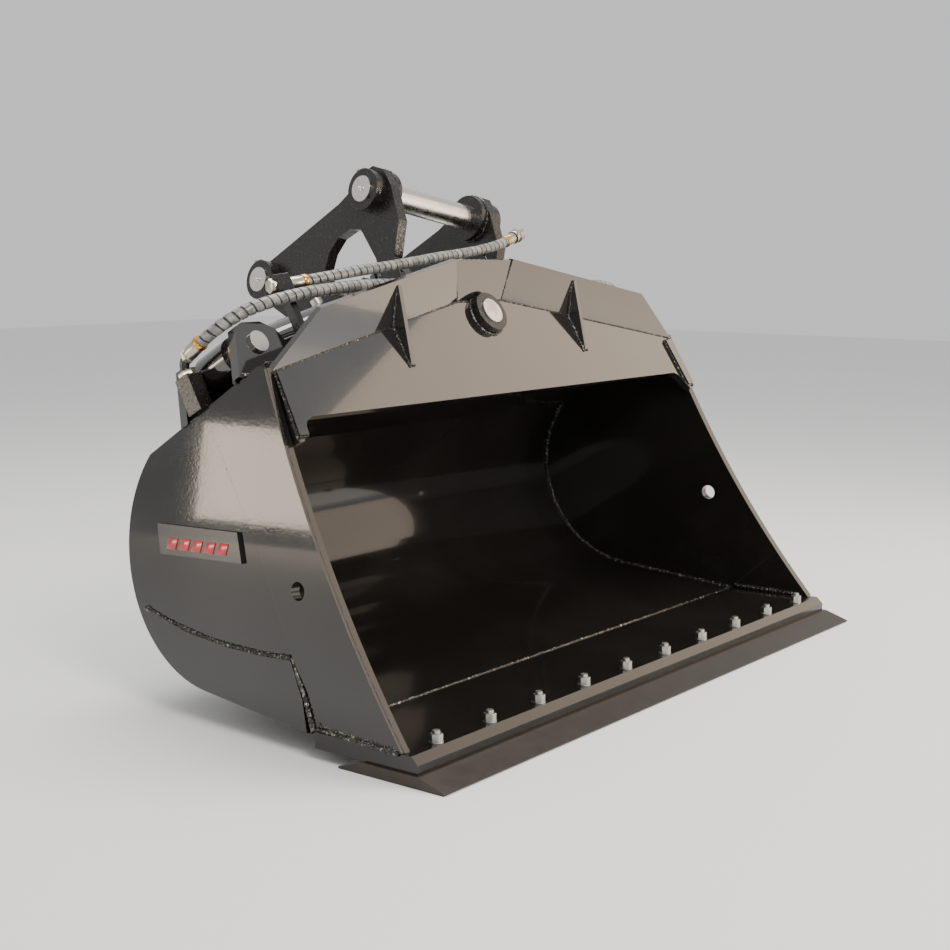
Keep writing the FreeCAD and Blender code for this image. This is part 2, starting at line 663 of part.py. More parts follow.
def hose_path(points):
    """Straight runs joined by tangent arcs; prints the tightest radius."""
    edges = []
    start = points[0]
    radii = []
    for before, corner, after in zip(points, points[1:], points[2:]):
        back = (before - corner)
        ahead = (after - corner)
        turn = math.pi - back.getAngle(ahead)
        shorter = min(back.Length, ahead.Length)
        radius = 0.45 * shorter / math.tan(turn / 2)
        back.normalize()
        ahead.normalize()
        enter = corner + back * 0.45 * shorter
        leave = corner + ahead * 0.45 * shorter
        bisector = (back + ahead).normalize()
        centre = corner + bisector * (radius / math.cos(turn / 2))
        middle = centre - bisector * radius
        edges.append(Part.LineSegment(start, enter).toShape())
        edges.append(Part.Arc(enter, middle, leave).toShape())
        radii.append(round(radius))
        start = leave
    edges.append(Part.LineSegment(start, points[-1]).toShape())
    return Part.Wire(edges), radii


def make_tube(label, path, start, way, radius):
    """A round tube along a path, in the yoke's frame."""
    section = Part.Wire(Part.Circle(start, way, radius).toShape())
    tube = doc.addObject("Part::Feature", label)
    tube.Shape = path.makePipeShell([section], True, False)
    tube.Placement = YOKE
    return tube


def make_hose(label, route, radius):
    """A hose as a tube along its route; prints its length and radii."""
    points = [Vector(*point) for point in route]
    path, radii = hose_path(points)
    hose = make_tube(label, path, points[0], points[1] - points[0], radius)
    keep(label, hose)
    ratio = hose.Shape.Volume / (math.pi * radius ** 2 * path.Length)
    print(f"{label}: length {path.Length:.0f}, volume ratio {ratio:.4f}, radii {radii}")


def make_elbow(end, ahead):
    """Swept elbow from the foot of a block up to a hose's end, square to both."""
    bend = number("elbow_radius")
    way = (end - ahead).normalize()
    corner = end + way * (bend + number("elbow_stub"))
    foot = Vector(corner.x, corner.y, number("block_top"))
    up = Vector(0, 0, -1)
    half_turn = up.getAngle(way * -1) / 2
    enter = corner + way * -1 * bend
    leave = corner + up * bend
    bisector = (up - way).normalize()
    middle = corner + bisector * bend * (1 / math.cos(half_turn) - math.tan(half_turn))
    edges = [Part.LineSegment(end, enter).toShape(), Part.Arc(enter, middle, leave).toShape()]
    edges.append(Part.LineSegment(leave, foot).toShape())
    return make_tube("elbow", Part.Wire(edges), end, way, number("elbow_tube")), foot


def make_hoses():
    """Both hoses, the blocks and elbows of the lower one and the holder and coupling of the upper one."""
    make_hose("hose_upper", HOSE_UPPER, number("hose_upper_radius"))
    make_hose("hose_lower", HOSE_LOWER, number("hose_lower_radius"))
    pieces = []
    for end, ahead in ((HOSE_LOWER[0], HOSE_LOWER[1]), (HOSE_LOWER[-1], HOSE_LOWER[-2])):
        elbow, foot = make_elbow(Vector(*end), Vector(*ahead))
        left = foot.x - 20
        right = foot.x + 20
        block = [(left, -82), (right, -82), (right, "block_top"), (left, "block_top")]
        body = make_body("block", YOKE, [("Pad", "XZ", [block], foot.y - 22, 44)])
        pieces += [elbow, less(body, NODES["shell_wrapper"])]
    start = Vector(*HOSE_UPPER[0])
    away = (start - Vector(*HOSE_UPPER[1])).normalize()
    frame = YOKE * Placement(start, Rotation(away, Vector(0, 0, 1).cross(away), Vector(0, 0, 1), "XZY"))
    holder = [(0, -20), (12, -20), (12, -201), (28, -201), (28, -20), (40, -20), (40, 20), (0, 20)]
    pieces.append(make_body("holder", frame, [("Pad", "XZ", [holder], -12, 28)]))
    tip = Vector(*HOSE_UPPER[-1])
    way = (tip - Vector(*HOSE_UPPER[-2])).normalize()
    coupling = Part.Wire([Part.LineSegment(tip, tip + way * number("coupling_length")).toShape()])
    pieces.append(make_tube("coupling", coupling, tip, way, number("hose_upper_radius") + 2))
    group("hose_blocks", pieces)


def check_and_write():
    """Stop on any failed object, then write one STEP file for each node."""
    doc.recompute()
    for item in doc.Objects:
        if {"Invalid", "Error"} & set(item.State):
            raise RuntimeError(f"{item.Label} failed: {item.State}")
    os.makedirs("parts", exist_ok=True)
    box = FreeCAD.BoundBox()
    for label, piece in NODES.items():
        shape = piece.Shape
        if shape.isNull() or not shape.isValid() or not shape.Solids:
            raise RuntimeError(f"{label} has no valid solid")
        box.add(shape.BoundBox)
        shape.exportStep(f"parts/{label}.step")
    print(f"{len(NODES)} nodes, box {box}")


make_shell()
make_sides()
make_edges()
make_yoke()
for side, name in ((-1, "left"), (1, "right")):
    make_cylinder(side, name)
make_head()
make_hoses()
check_and_write()
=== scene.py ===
"""Looks for the tilt bucket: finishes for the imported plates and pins, weld beads, hoses with their
spiral guards, fittings, badges and the stage.  Metres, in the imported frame."""
import bmesh
import bpy
import json
import math
import random
from mathutils import Matrix, Vector


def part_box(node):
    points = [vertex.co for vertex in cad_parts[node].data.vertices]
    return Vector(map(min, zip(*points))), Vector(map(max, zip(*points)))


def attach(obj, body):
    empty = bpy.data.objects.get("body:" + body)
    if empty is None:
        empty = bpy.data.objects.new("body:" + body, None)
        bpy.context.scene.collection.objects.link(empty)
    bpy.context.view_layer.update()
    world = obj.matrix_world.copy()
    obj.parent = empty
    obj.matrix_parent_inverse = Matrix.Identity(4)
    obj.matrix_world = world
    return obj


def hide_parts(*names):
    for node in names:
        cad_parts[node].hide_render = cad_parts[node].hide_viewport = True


bl_info = {
    "name": "Tilt bucket looks",
    "version": (1, 0, 0),
    "blender": (4, 5, 0),
    "location": "View3D > Sidebar > Bucket",
    "description": "Builds the finishes and small pieces of a tilting excavator bucket",
    "category": "Object",
}

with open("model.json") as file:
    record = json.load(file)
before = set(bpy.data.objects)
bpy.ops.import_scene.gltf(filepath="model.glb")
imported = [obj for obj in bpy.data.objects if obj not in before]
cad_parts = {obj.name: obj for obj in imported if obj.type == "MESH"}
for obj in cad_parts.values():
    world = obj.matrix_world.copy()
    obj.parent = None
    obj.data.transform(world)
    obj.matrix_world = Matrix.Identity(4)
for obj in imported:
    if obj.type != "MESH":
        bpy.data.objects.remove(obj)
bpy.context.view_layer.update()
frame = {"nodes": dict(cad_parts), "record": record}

JOINTS = {joint["name"]: joint for joint in frame["record"]["behaviour"]["joints"]}
TILT = JOINTS["head_tilt"]


# Frames of the object ----------------------------------------------------------------------------
def make_frame(origin, along, across=Vector((1, 0, 0))):
    """Matrix whose Y runs along the given way and whose X is the across way."""
    across = Vector(across).normalized()
    along = Vector(along).normalized()
    rise = across.cross(along).normalized()
    turn = Matrix((across, along, rise)).transposed().to_4x4()
    return Matrix.Translation(Vector(origin)) @ turn


REST_TILT = math.radians(11.5)
MOUTH_LEAN = math.radians(32.03)
SIDE_TAPER = math.radians(5.07)
LIP_HALF = 0.9
YOKE = make_frame(TILT["pos_m"], TILT["axis"])
HEAD = YOKE @ Matrix.Rotation(REST_TILT, 4, "Y")
LIP_TIP = Vector((0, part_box("base_edge")[0][1], 0.031))
SHELL = Matrix.Translation(LIP_TIP) @ Matrix.Rotation(-MOUTH_LEAN, 4, "X")


def side_frame(side):
    """Frame of a side plate's outer face."""
    lean = Matrix.Rotation(-side * SIDE_TAPER, 4, "Y")
    return SHELL @ Matrix.Translation((side * LIP_HALF, 0, 0)) @ lean


def spots(matrix, rows):
    """Points given in millimetres in a frame, as places in metres."""
    return [matrix @ (Vector(row) * 0.001) for row in rows]


# Small mesh tools --------------------------------------------------------------------------------
def link(name, mesh):
    """A new object for the mesh."""
    piece = bpy.data.objects.new(name, mesh)
    bpy.context.scene.collection.objects.link(piece)
    return piece


def mesh_piece(name, bm, body, material, smooth=True):
    """Turn a bmesh into a finished piece riding on a body."""
    bmesh.ops.remove_doubles(bm, verts=bm.verts, dist=1e-6)
    bmesh.ops.recalc_face_normals(bm, faces=bm.faces)
    mesh = bpy.data.meshes.new(name)
    bm.to_mesh(mesh)
    bm.free()
    for face in mesh.polygons:
        face.use_smooth = smooth
    if smooth:
        mesh.set_sharp_from_angle(angle=math.radians(35))
    piece = link(name, mesh)
    mesh.materials.append(material)
    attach(piece, body)
    return piece


def curve_mesh(name, lines, radius, sides=3):
    """Mesh of round tubes along lines of (place, thickness) points."""
    curve = bpy.data.curves.new(name, "CURVE")
    curve.dimensions = "3D"
    curve.bevel_depth = radius
    curve.bevel_resolution = sides
    curve.use_fill_caps = True
    for line, cyclic in lines:
        spline = curve.splines.new("POLY")
        spline.points.add(len(line) - 1)
        for point, (place, thickness) in zip(spline.points, line):
            point.co = (*place, 1)
            point.radius = thickness
        spline.use_cyclic_u = cyclic
    holder = link(name + "_line", curve)
    mesh = bpy.data.meshes.new_from_object(holder)
    bpy.data.objects.remove(holder)
    return mesh


def tube_piece(name, lines, radius, body, material, sides=3):
    """A finished piece made of round tubes."""
    bm = bmesh.new()
    bm.from_mesh(curve_mesh(name, lines, radius, sides))
    return mesh_piece(name, bm, body, material)


def walk(corners, step, cyclic=False):
    """Points at even steps along straight runs, with the distance gone."""
    closed = [*corners, corners[0]] if cyclic else corners
    result = []
    gone = 0
    carry = 0
    for here, there in zip(closed, closed[1:]):
        length = (there - here).length
        way = (there - here) / length
        at = carry
        while at < length:
            result.append((here + way * at, gone + at))
            at += step
        carry = at - length
        gone += length
    if not cyclic:
        result.append((closed[-1], gone))
    return result


def bead_line(corners, seed, step=0.0045, ripple=0.011, cyclic=False):
    """A weld bead's line: ripples and small random lumps along straight runs."""
    chance = random.Random(seed)
    line = []
    for place, gone in walk(corners, step, cyclic):
        lump = 1 + 0.16 * math.sin(gone / ripple * 2 * math.pi) + chance.uniform(-0.1, 0.12)
        drift = Vector([chance.uniform(-0.0006, 0.0006) for _ in range(3)])
        line.append((place + drift, lump))
    return line, cyclic


def arc_points(centre_n, centre_up, radius, start, end, count):
    """Points of an arc in a side plate's plane, in millimetres."""
    result = []
    for index in range(count):
        angle = math.radians(start + (end - start) * index / (count - 1))
        result.append((centre_n + radius * math.cos(angle), centre_up + radius * math.sin(angle)))
    return result


# Shader maths ------------------------------------------------------------------------------------
class Value:
    """A number or socket that takes part in arithmetic by adding Math nodes."""

    def __init__(self, tree, socket):
        self.tree = tree
        self.socket = socket

    def math(self, operation, *others):
        """Add a Math node fed by this value and the others."""
        node = self.tree.nodes.new("ShaderNodeMath")
        node.operation = operation
        for place, item in zip(node.inputs, (self, *others)):
            if isinstance(item, Value):
                self.tree.links.new(item.socket, place)
            else:
                place.default_value = item
        return Value(self.tree, node.outputs[0])

    def __add__(self, other):
        return self.math("ADD", other)

    def __mul__(self, other):
        return self.math("MULTIPLY", other)

    def __sub__(self, other):
        return self.math("SUBTRACT", other)

    __radd__ = __add__
    __rmul__ = __mul__

    def clamp(self):
        """The value held between 0 and 1."""
        return self.math("MAXIMUM", 0).math("MINIMUM", 1)


class Finish:
    """One material with its node tree and the method that adds nodes."""

    def __init__(self, name):
        self.material = bpy.data.materials.new(name)
        self.material.use_nodes = True
        self.tree = self.material.node_tree
        self.shader = self.tree.nodes["Principled BSDF"]
        self.place = self.node("TexCoord", out="Object")

    def node(self, kind, settings=None, out=0, **sockets):
        """Add a node: settings first, then values or links, and give one output."""
        node = self.tree.nodes.new("ShaderNode" + kind)
        for name, setting in (settings or {}).items():
            setattr(node, name, setting)
        for name, item in sockets.items():
            socket = node.inputs[name.replace("_", " ")]
            if isinstance(item, Value):
                self.tree.links.new(item.socket, socket)
            else:
                socket.default_value = item
        return Value(self.tree, node.outputs[out])

    def noise(self, scale, detail=4, rough=0.55, place=None):
        where = self.place if place is None else place
        return self.node("TexNoise", Vector=where, Scale=scale, Detail=detail, Roughness=rough)

    def ramp(self, factor, low, high):
        """Factor stretched from low..high to 0..1."""
        return self.node("MapRange", From_Min=low, From_Max=high, Value=factor)

    def mix(self, factor, first, second):
        """A colour between two colours."""
        node = self.tree.nodes.new("ShaderNodeMix")
        node.data_type = "RGBA"
        self.tree.links.new(factor.socket, node.inputs["Factor"])
        for socket, item in ((node.inputs[6], first), (node.inputs[7], second)):
            if isinstance(item, Value):
                self.tree.links.new(item.socket, socket)
            else:
                socket.default_value = (*item, 1)
        return Value(self.tree, node.outputs[2])

    def bump(self, height, strength, distance, rounded=0.0):
        """Bump from a height; a rounded edge of that radius under it where given."""
        sockets = {"Height": height, "Strength": strength, "Distance": distance}
        if rounded:
            sockets["Normal"] = self.node("Bevel", {"samples": 4}, Radius=rounded)
        return self.node("Bump", **sockets)

    def stretched(self, scale):
        """Object place stretched, for brushed or drawn patterns."""
        return self.node("Mapping", Vector=self.place, Scale=scale)

    def set(self, **sockets):
        """Give the shader its values and links."""
        for name, item in sockets.items():
            socket = self.shader.inputs[name.replace("_", " ")]
            if isinstance(item, Value):
                self.tree.links.new(item.socket, socket)
            else:
                socket.default_value = item
        return self.material


# Finishes ----------------------------------------------------------------------------------------
def gloss_black(name, colour, lumps=0.3, rough=0.08, shine=0.7):
    """Thick black enamel over rolled plate: soft orange peel, a dust film and a few rubbed flecks."""
    finish = Finish(name)
    peel = finish.noise(130, 2)
    wave = finish.noise(7, 3)
    dust = finish.ramp(finish.noise(3.2, 6, 0.65), 0.46, 0.8).clamp()
    streak = finish.ramp(finish.noise(1, 5, 0.7, finish.stretched((50, 3, 3))), 0.6, 0.8).clamp()
    speck = finish.ramp(finish.noise(380, 2), 0.69, 0.75).clamp()
    film = (dust * 0.5 + streak * 0.25).clamp()
    base = finish.mix(film, colour, [part * 1.8 + 0.006 for part in colour])
    base = finish.mix(speck * 0.2, base, (0.16, 0.13, 0.1))
    roughness = (rough + film * 0.12 + speck * 0.2).clamp()
    normal = finish.bump(peel * 0.1 + wave * lumps, 0.35, 0.002, 0.0015)
    finish.set(Specular_IOR_Level=shine, Coat_Weight=shine, Coat_Roughness=0.03, Coat_IOR=1.7)
    return finish.set(Base_Color=base, Roughness=roughness, Normal=normal)


def cast_black(name, colour):
    """Black paint over grainy flame-cut ears, with pale flecks."""
    finish = Finish(name)
    grain = finish.noise(170, 4, 0.7)
    pits = finish.node("TexVoronoi", Vector=finish.place, Scale=110)
    fleck = finish.ramp(finish.noise(230, 3), 0.6, 0.72).clamp()
    film = finish.ramp(finish.noise(6, 5), 0.45, 0.75).clamp()
    base = finish.mix(fleck * 0.35, colour, (0.2, 0.17, 0.14))
    normal = finish.bump(grain * 0.7 + pits * 0.5, 0.5, 0.0016, 0.0025)
    return finish.set(Base_Color=base, Roughness=(0.13 + film * 0.16 + fleck * 0.25).clamp(), Normal=normal)


def worn_edge(name, colour):
    """Dark edge steel: satin paint, fine scratches along the blade."""
    finish = Finish(name)
    scratch = finish.noise(1, 4, 0.7, finish.stretched((8, 500, 500)))
    patch = finish.ramp(finish.noise(22, 6, 0.65), 0.35, 0.8).clamp()
    base = finish.mix(patch, colour, [part * 1.5 + 0.004 for part in colour])
    bare = finish.ramp(scratch, 0.62, 0.75).clamp()
    base = finish.mix(bare * 0.3, base, (0.2, 0.16, 0.13))
    roughness = (0.3 + patch * 0.08 - bare * 0.08).clamp()
    normal = finish.bump(scratch * 0.4 + finish.noise(220, 3) * 0.3, 0.3, 0.001, 0.0015)
    return finish.set(Base_Color=base, Roughness=roughness, Metallic=0.25, Normal=normal)


def bright_steel(name, colour, rough=0.2, stretch=(30, 400, 400)):
    """Ground or plated steel with turning marks and light stains."""
    finish = Finish(name)
    lines = finish.noise(1, 3, 0.6, finish.stretched(stretch))
    stain = finish.ramp(finish.noise(40, 5), 0.48, 0.75).clamp()
    base = finish.mix(stain * 0.5, colour, [part * 0.55 for part in colour])
    roughness = (rough + stain * 0.2 + lines * 0.08).clamp()
    normal = finish.bump(lines, 0.12, 0.0006, 0.001)
    return finish.set(Base_Color=base, Roughness=roughness, Metallic=1.0, Normal=normal)


def weld_finish(name, colour):
    """Painted weld metal with tight ripples and pale spots of painted highlight standing in for glints."""
    finish = Finish(name)
    ripple = finish.noise(380, 3)
    painted_glint = finish.ramp(finish.noise(170, 3), 0.56, 0.72).clamp()
    # Pale colour mixed into the bead in spots: painted highlights, not bare metal.
    base = finish.mix(painted_glint * 0.7, colour, (0.5, 0.45, 0.38))
    roughness = (0.12 + ripple * 0.14).clamp()
    return finish.set(
        Base_Color=base, Roughness=roughness, Normal=finish.bump(ripple, 0.4, 0.0015), Metallic=0.3
    )


def rubber(name, colour):
    """Matt hose rubber with a fabric print."""
    finish = Finish(name)
    print_grain = finish.noise(600, 3)
    scuff = finish.ramp(finish.noise(30, 5), 0.5, 0.72).clamp()
    base = finish.mix(scuff * 0.5, colour, (0.14, 0.13, 0.12))
    normal = finish.bump(print_grain, 0.25, 0.0008)
    return finish.set(Base_Color=base, Roughness=(0.5 + scuff * 0.2).clamp(), Normal=normal)


def guard_finish(name, colour):
    """Hard plastic spiral guard, rubbed pale on the crowns; the pale patches are partly rubbed wear, partly
    painted sheen.
    """
    finish = Finish(name)
    rub_and_sheen = finish.ramp(finish.noise(55, 5), 0.42, 0.66).clamp()
    fine = finish.noise(500, 2)
    # Pale grey mixed into the band in patches: partly rubbed wear, partly painted sheen.
    base = finish.mix(rub_and_sheen, colour, (0.34, 0.33, 0.31))
    roughness = (0.24 + rub_and_sheen * 0.16).clamp()
    return finish.set(Base_Color=base, Roughness=roughness, Normal=finish.bump(fine, 0.15, 0.0006))


def enamel(name, colour):
    """Fired enamel with a soft depth and slight crazing."""
    finish = Finish(name)
    craze = finish.node("TexVoronoi", {"feature": "DISTANCE_TO_EDGE"}, Vector=finish.place, Scale=220)
    line = finish.ramp(craze, 0.0, 0.04).clamp()
    cloud = finish.ramp(finish.noise(30, 4), 0.35, 0.75).clamp()
    base = finish.mix(cloud * 0.6, colour, [part * 0.45 for part in colour])
    normal = finish.bump(line * 0.2 + finish.noise(200, 2) * 0.3, 0.2, 0.0008, 0.001)
    return finish.set(Base_Color=base, Roughness=0.14 + cloud * 0.1, Normal=normal, Coat_Weight=0.6)


# Settings ----------------------------------------------------------------------------------------
def colour_setting(name, description, default):
    """A colour the user may change."""
    return bpy.props.FloatVectorProperty(
        name=name, description=description, subtype="COLOR", size=3, min=0, max=1, default=default
    )


def length_setting(name, description, default):
    """A length the user may change."""
    return bpy.props.FloatProperty(
        name=name, description=description, default=default, min=0, unit="LENGTH", precision=4
    )


class BucketColours(bpy.types.PropertyGroup):
    """Colours of the finishes."""

    paint: colour_setting("Paint", "Black enamel on the bucket", (0.009, 0.008, 0.007))
    ears: colour_setting("Ears", "Paint on the ears and head", (0.012, 0.011, 0.01))
    blade: colour_setting("Blade", "Bolt-on blade", (0.02, 0.014, 0.009))
    steel: colour_setting("Pin steel", "Ground pins", (0.74, 0.71, 0.66))
    zinc: colour_setting("Zinc", "Nuts, washers and bolts", (0.46, 0.45, 0.42))
    brass: colour_setting("Brass", "Hose ferrule rings", (0.72, 0.36, 0.08))
    hose: colour_setting("Hose", "Hose rubber", (0.03, 0.03, 0.03))
    # Guard grey: the plastic's own grey, set lighter as painted sheen.
    guard: colour_setting("Guard", "Spiral hose guard", (0.16, 0.155, 0.15))
    badge: colour_setting("Badge", "Enamel bar on the badge", (0.5, 0.012, 0.012))
    floor: colour_setting("Floor", "Studio floor", (0.86, 0.86, 0.86))


class BucketSizes(bpy.types.PropertyGroup):
    """Sizes of the pieces made here."""

    bead: length_setting("Weld bead", "Radius of an ordinary weld bead", 0.004)
    heavy_bead: length_setting("Heavy bead", "Radius of the beads on the sides", 0.0062)
    upper_hose: length_setting("Upper hose", "Radius of the upper hose", 0.0105)
    lower_hose: length_setting("Lower hose", "Radius of the lower hose", 0.012)
    guard_pitch: length_setting("Guard pitch", "Distance between turns of the guard", 0.021)
    lens: bpy.props.FloatProperty(name="Lens", description="Camera lens in millimetres", default=60.06)


def colours():
    """The colour settings."""
    return bpy.context.scene.bucket_colours


def sizes():
    """The size settings."""
    return bpy.context.scene.bucket_sizes


FINISHES = {}


def finish_for(name):
    """The finish of that name, made once."""
    if name not in FINISHES:
        shade = colours()
        makers = {
            "paint": lambda: gloss_black("gloss_enamel", tuple(shade.paint)),
            "inner_paint": lambda: gloss_black("inner_enamel", tuple(shade.paint), 0.2, 0.1, 0.3),
            "side_paint": lambda: gloss_black("side_enamel", tuple(shade.paint), 0.3, 0.06, 0.35),
            "ears": lambda: cast_black("ear_paint", tuple(shade.ears)),
            "blade": lambda: worn_edge("blade_steel", tuple(shade.blade)),
            "steel": lambda: bright_steel("ground_steel", tuple(shade.steel)),
            "chrome": lambda: bright_steel("hard_chrome", (0.82, 0.82, 0.82), 0.06, (200, 20, 20)),
            "zinc": lambda: bright_steel("zinc_plate", tuple(shade.zinc), 0.28, (160, 160, 160)),
            "bronze": lambda: bright_steel("bush_bronze", (0.6, 0.4, 0.18), 0.3),
            "fitting": lambda: bright_steel("fitting_plate", (0.5, 0.47, 0.4), 0.26, (120, 120, 120)),
            "brass": lambda: bright_steel("ferrule_brass", tuple(shade.brass), 0.22, (90, 90, 90)),
            "weld": lambda: weld_finish("weld_metal", (0.02, 0.018, 0.016)),
            "rubber": lambda: rubber("hose_rubber", tuple(shade.hose)),
            "guard": lambda: guard_finish("guard_plastic", tuple(shade.guard)),
            "badge": lambda: enamel("badge_enamel", tuple(shade.badge)),
            "badge_ground": lambda: enamel("badge_ground", (0.02, 0.018, 0.018)),
        }
        FINISHES[name] = makers[name]()
    return FINISHES[name]


SLOT_FINISH = {
    "black_paint": "paint", "edge_steel": "blade", "zinc_plate": "zinc", "pin_steel": "steel",
    "rod_chrome": "chrome", "bush_bronze": "bronze", "fitting_steel": "fitting",
    "badge_enamel": "badge_ground", "hose_rubber": "rubber",
}
INNER_NODES = ("shell_wrapper", "base_edge")
SIDE_NODES = (
    "side_plate_left", "side_plate_right", "side_wear_plate_left", "side_wear_plate_right", "front_strips",
)
CAST_NODES = (
    "ear_left", "ear_right", "ear_inner_eyes", "ear_pin_collars", "pivot_front_boss", "pivot_sleeve",
    "hose_blocks",
)


class BUCKET_OT_finishes(bpy.types.Operator):
    """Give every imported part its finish"""

    bl_idname = "bucket.finishes"
    bl_label = "Finishes"

    def execute(self, context):
        slots = {part["node"]: part["material_slot"] for part in frame["record"]["subparts"]}
        for node, piece in frame["nodes"].items():
            finish = SLOT_FINISH[slots[node]]
            if node in INNER_NODES:
                finish = "inner_paint"
            if node in CAST_NODES:
                finish = "ears"
            if node in SIDE_NODES:
                finish = "side_paint"
            for place in piece.material_slots:
                place.material = finish_for(finish)
            if not piece.material_slots:
                piece.data.materials.append(finish_for(finish))
        return {"FINISHED"}


# Weld beads --------------------------------------------------------------------------------------
ROLL_N = 325.4
ROLL_UP = 622.3
FLOOR_ANGLE = -52.7
ROLL_END_ANGLE = 70.2
FLOOR_START = (227.7, 157.0)


HEAVY_BEADS = (
    (1.5, ((606, 614), (556, 560), (500, 514), (448, 470), (393, 433), (345, 402), (300, 374), (258, 350),
           (218, 332))),
    (1.5, ((216, 330), (222, 240), (232, 172))),
    (6, ((24, 49), (120, 110), (212, 169))),
    (3, ((30, 62), (120, 120), (206, 176))),
)


def roll_line(radius, count=34):
    """The roll and floor as points in a side plate's plane."""
    points = [FLOOR_START] if radius > 305 else [(218, 170)]
    points += arc_points(ROLL_N, ROLL_UP, radius, FLOOR_ANGLE, ROLL_END_ANGLE, count)
    return points


def bead_piece(name, lines, radius, body="bucket", material="weld"):
    """Weld beads as one piece."""
    return tube_piece(name, lines, radius, body, finish_for(material), 2)


class BUCKET_OT_side_welds(bpy.types.Operator):
    """Beads on and inside the side plates"""

    bl_idname = "bucket.side_welds"
    bl_label = "Side welds"

    def execute(self, context):
        for side, name in ((-1, "left"), (1, "right")):
            outer = side_frame(side)
            face = side * 1.5
            inner = -side * 17
            heavy = []
            for seed, (out, corners) in enumerate(HEAVY_BEADS, start=11):
                heavy.append(bead_line(spots(outer, [(side * out, n, up) for n, up in corners]), seed))
            bead_piece(f"heavy_beads_{name}", heavy, sizes().heavy_bead)
            strip = [(face, 213, 336), (face, 203, 526), (face, 206, 719), (face, 211, 905)]
            fine = [
                bead_line(spots(outer, strip), 21),
                bead_line(spots(outer, [(inner / 2, n, up) for n, up in roll_line(309)]), 22),
            ]
            bead_piece(f"fine_beads_{name}", fine, sizes().bead * 0.7)
            inside = [
                bead_line(spots(outer, [(inner, n, up) for n, up in roll_line(294)]), 31),
                bead_line(spots(outer, [(inner, 34, 64), (inner, 205, 173)]), 32),
            ]
            bead_piece(f"inner_beads_{name}", inside, sizes().heavy_bead)
        return {"FINISHED"}


class BUCKET_OT_yoke_welds(bpy.types.Operator):
    """Beads on the front plate, crest, gussets, bosses and brackets"""

    bl_idname = "bucket.yoke_welds"
    bl_label = "Yoke welds"

    def execute(self, context):
        bead = sizes().bead
        face = 21.5
        fold = [
            bead_line(spots(YOKE, [(-800, face, -103), (-90, face, 40), (-40, face, 40)]), 41),
            bead_line(spots(YOKE, [(40, face, 40), (90, face, 40), (800, face, -103)]), 42),
        ]
        bead_piece("fold_beads", fold, bead * 0.55)
        turns = [math.radians(angle) for angle in range(0, 360, 12)]
        ring = [(55 * math.cos(turn), face, 55 * math.sin(turn)) for turn in turns]
        corner = []
        for side in (-1, 1):
            ends = [(side * 803, face, -106), (side * 816, face, -262)]
            corner.append(bead_line(spots(YOKE, ends), 43 + side))
            gusset = side * 362
            for flank in (-1, 1):
                x = gusset + flank * 7
                corner.append(bead_line(spots(YOKE, [(x, face, -122), (x, face, -16)]), 51 + flank))
                corner.append(bead_line(spots(YOKE, [(x, face, -15), (x, face - 54, 55)]), 54 + flank))
        corner.append(bead_line(spots(YOKE, ring), 45, cyclic=True))
        bead_piece("yoke_beads", corner, bead)
        seams = []
        for side in (-1, 1):
            seams.append(bead_line(spots(YOKE, [(side * 91, 21, 42), (side * 118, -42, 122)]), 46 + side))
        bead_piece("crest_seam_beads", seams, bead * 0.5)
        deck = []
        for side in (-1, 1):
            deck.append(bead_line(spots(YOKE, [(side * 612, 94, -76), (side * 826, 94, -76)]), 61))
            deck.append(bead_line(spots(YOKE, [(side * 612, 121, -77), (side * 826, 121, -77)]), 62))
        deck.append(bead_line(spots(YOKE, [(-800, 299, -85), (800, 299, -85)]), 63))
        deck.append(bead_line(spots(YOKE, [(-800, 326, -86), (800, 326, -86)]), 64))
        deck.append(bead_line(spots(YOKE, [(-796, 44, -75), (796, 44, -75)]), 65))
        bead_piece("deck_beads", deck, bead * 1.2)
        floor_seam = Vector((0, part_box("base_edge")[1][1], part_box("base_edge")[1][2]))
        seam = [floor_seam + Vector((x, 0, 0)) for x in (-0.868, 0.868)]
        rows = [(774, -116), (806, -110), (815, -256), (788, -256)]
        plates = bmesh.new()
        for side in (-1, 1):
            verts = [plates.verts.new(place) for place in spots(YOKE, [(side * x, 13, up) for x, up in rows])]
            face = plates.faces.new(verts)
            away = (YOKE.to_3x3() @ Vector((0, 1, 0))) * 0.009
            grown = bmesh.ops.extrude_face_region(plates, geom=[face])
            moved = [item for item in grown["geom"] if isinstance(item, bmesh.types.BMVert)]
            bmesh.ops.translate(plates, vec=away, verts=moved)
        mesh_piece("fold_corner_plates", plates, "bucket", finish_for("paint"), False)
        rims = []
        for side in (-1, 1):
            rim = [(772, -114), (808, -108), (817, -258), (786, -258)]
            rims.append(bead_line(spots(YOKE, [(side * x, 20, up) for x, up in rim]), 67, cyclic=True))
        bead_piece("fold_corner_beads", rims, bead * 0.6)
        bead_piece("floor_seam_bead", [bead_line(seam, 66)], bead * 0.8)
        return {"FINISHED"}


class BUCKET_OT_head_welds(bpy.types.Operator):
    """Beads on the tilting head"""

    bl_idname = "bucket.head_welds"
    bl_label = "Head welds"

    def execute(self, context):
        lines = []
        for side in (-1, 1):
            for face in (200, 170):
                for low, high in ((64, 149), (331, 461)):
                    ends = [(side * face, low, 85), (side * face, high, 85)]
                    lines.append(bead_line(spots(HEAD, ends), 71 + face))
            for along, up, radius in ((103, 368, 60), (535, 350, 52)):
                ring = []
                for step in range(30):
                    angle = math.radians(step * 12)
                    along_at = along + radius * math.cos(angle)
                    ring.append((side * 169.5, along_at, up + radius * math.sin(angle)))
                lines.append(bead_line(spots(HEAD, ring), 73, cyclic=True))
        for along in (82, 172, 262):
            for side in (-1, 1):
                lines.append(bead_line(spots(HEAD, [(side * 62, along, 4), (side * 148, along, 60)]), 75))
        bead_piece("head_beads", lines, sizes().bead, "head")
        return {"FINISHED"}


